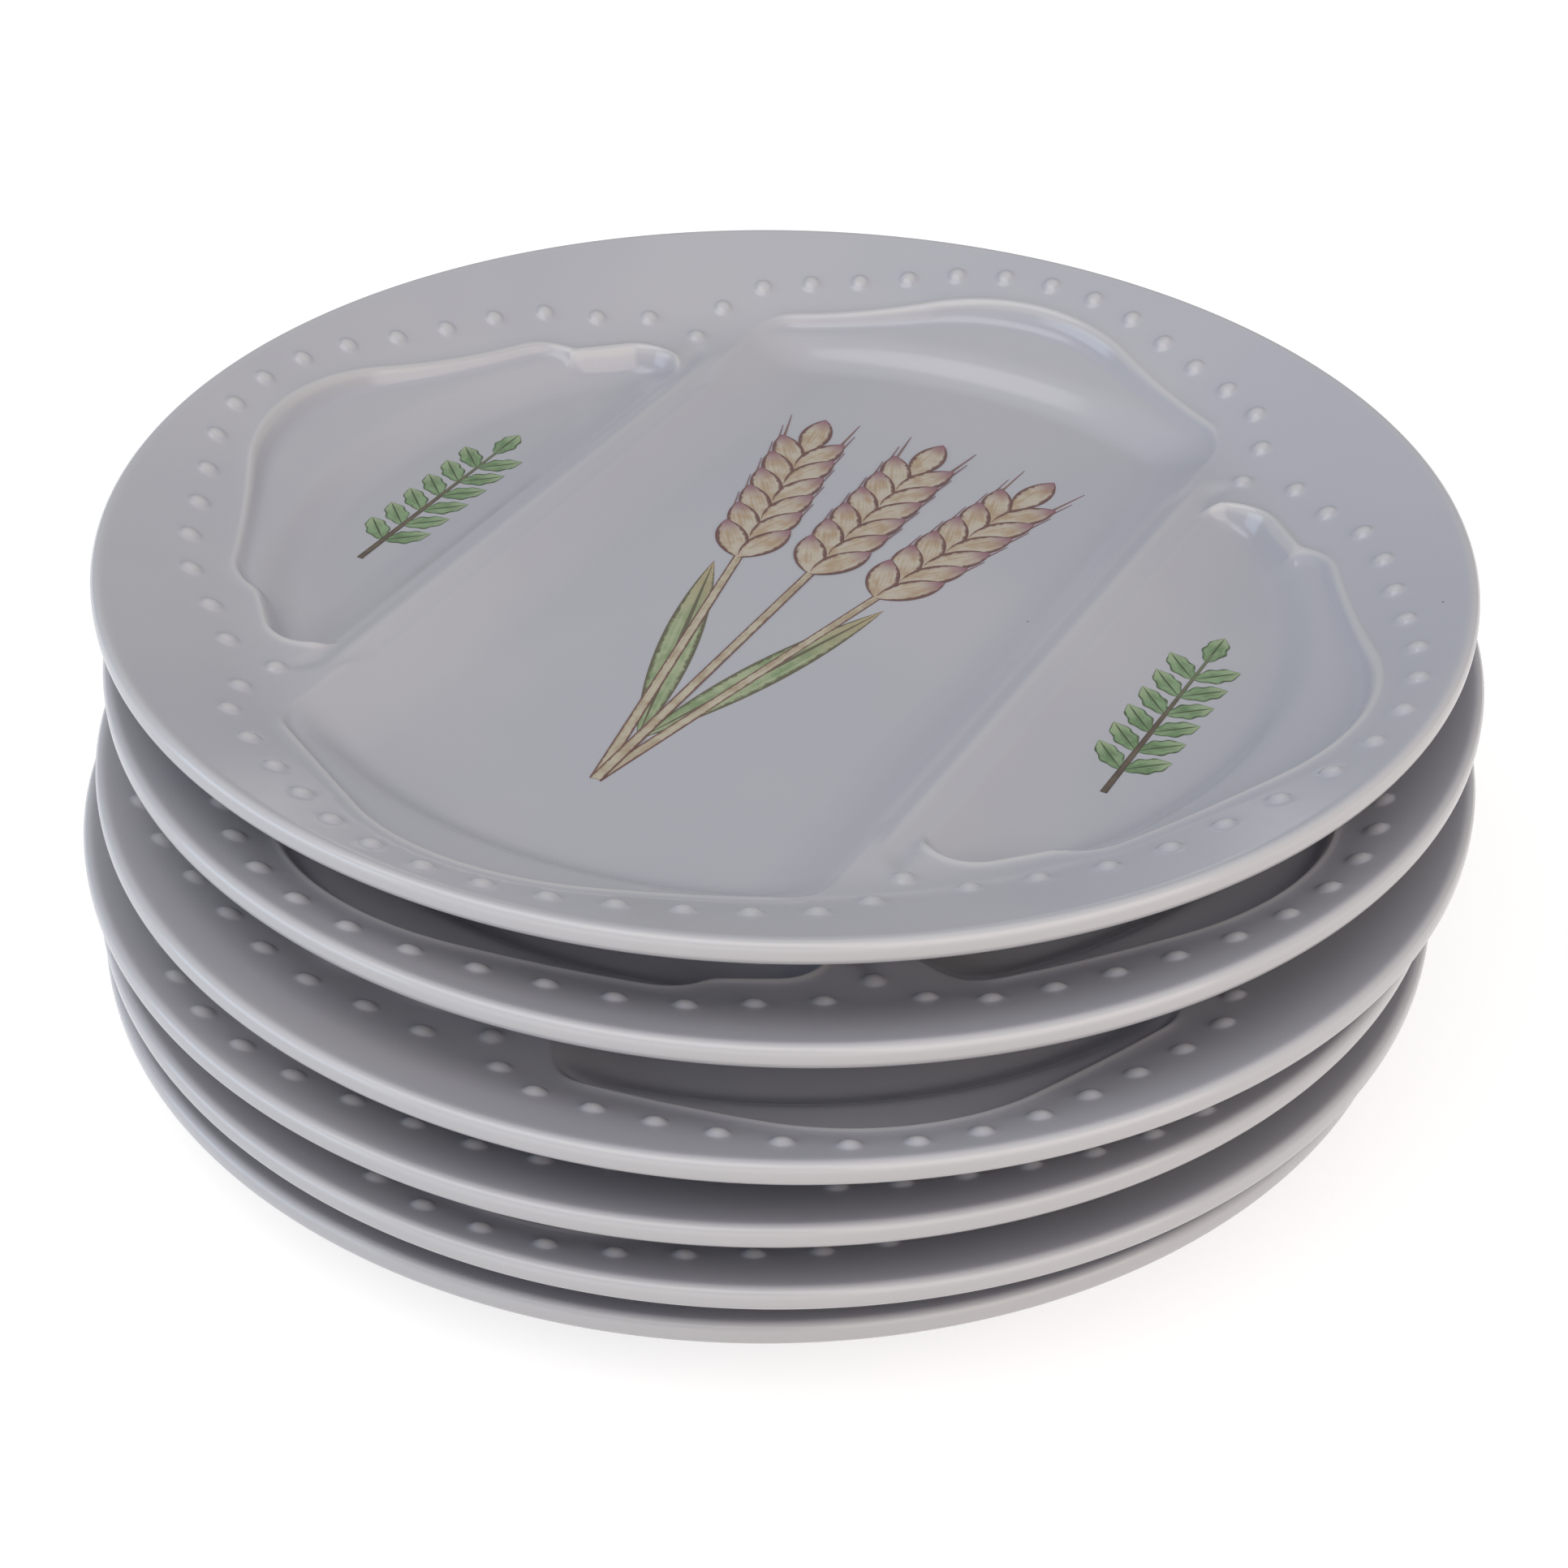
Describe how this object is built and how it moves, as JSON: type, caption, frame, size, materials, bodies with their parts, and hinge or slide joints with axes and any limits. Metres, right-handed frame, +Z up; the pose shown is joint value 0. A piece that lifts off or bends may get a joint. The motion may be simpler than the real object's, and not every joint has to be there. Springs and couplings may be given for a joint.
{
  "type": "asparagus plate stack",
  "caption": "Stack of round white glazed asparagus plates, each with a long centre well between two dividers, scalloped side wells, a beaded rim and a foot ring.",
  "frame": {"origin": "middle of the stack's overall box, on the plane it stands on", "axes": "+Z up, +X to the right and +Y to the back as the stack is seen in the picture"},
  "size_m": [0.2664, 0.2768, 0.1033],
  "materials": {
    "white_glaze": "glossy",
    "straw_print": "glossy",
    "leaf_print": "glossy"
  },
  "bodies": {
    "plate_1": {"plate_1_dish": "white_glaze", "plate_1_centre_print": "straw_print", "plate_1_left_sprig": "leaf_print", "plate_1_right_sprig": "leaf_print"},
    "plate_2": {"plate_2_dish": "white_glaze", "plate_2_centre_print": "straw_print", "plate_2_left_sprig": "leaf_print", "plate_2_right_sprig": "leaf_print"},
    "plate_3": {"plate_3_dish": "white_glaze", "plate_3_centre_print": "straw_print", "plate_3_left_sprig": "leaf_print", "plate_3_right_sprig": "leaf_print"},
    "plate_4": {"plate_4_dish": "white_glaze", "plate_4_centre_print": "straw_print", "plate_4_left_sprig": "leaf_print", "plate_4_right_sprig": "leaf_print"},
    "plate_5": {"plate_5_dish": "white_glaze", "plate_5_centre_print": "straw_print", "plate_5_left_sprig": "leaf_print", "plate_5_right_sprig": "leaf_print"},
    "plate_6": {"plate_6_dish": "white_glaze", "plate_6_centre_print": "straw_print", "plate_6_left_sprig": "leaf_print", "plate_6_right_sprig": "leaf_print"}
  },
  "joints": [
    {"name": "plate_2_lift", "type": "slide", "parent": "plate_1", "child": "plate_2", "axis": [0, 0, 1], "range_m": [0, 0.04]},
    {"name": "plate_3_lift", "type": "slide", "parent": "plate_2", "child": "plate_3", "axis": [0, 0, 1], "range_m": [0, 0.04]},
    {"name": "plate_4_lift", "type": "slide", "parent": "plate_3", "child": "plate_4", "axis": [0, 0, 1], "range_m": [0, 0.04]},
    {"name": "plate_5_lift", "type": "slide", "parent": "plate_4", "child": "plate_5", "axis": [0, 0, 1], "range_m": [0, 0.04]},
    {"name": "plate_6_lift", "type": "slide", "parent": "plate_5", "child": "plate_6", "axis": [0, 0, 1], "range_m": [0, 0.04]}
  ]
}
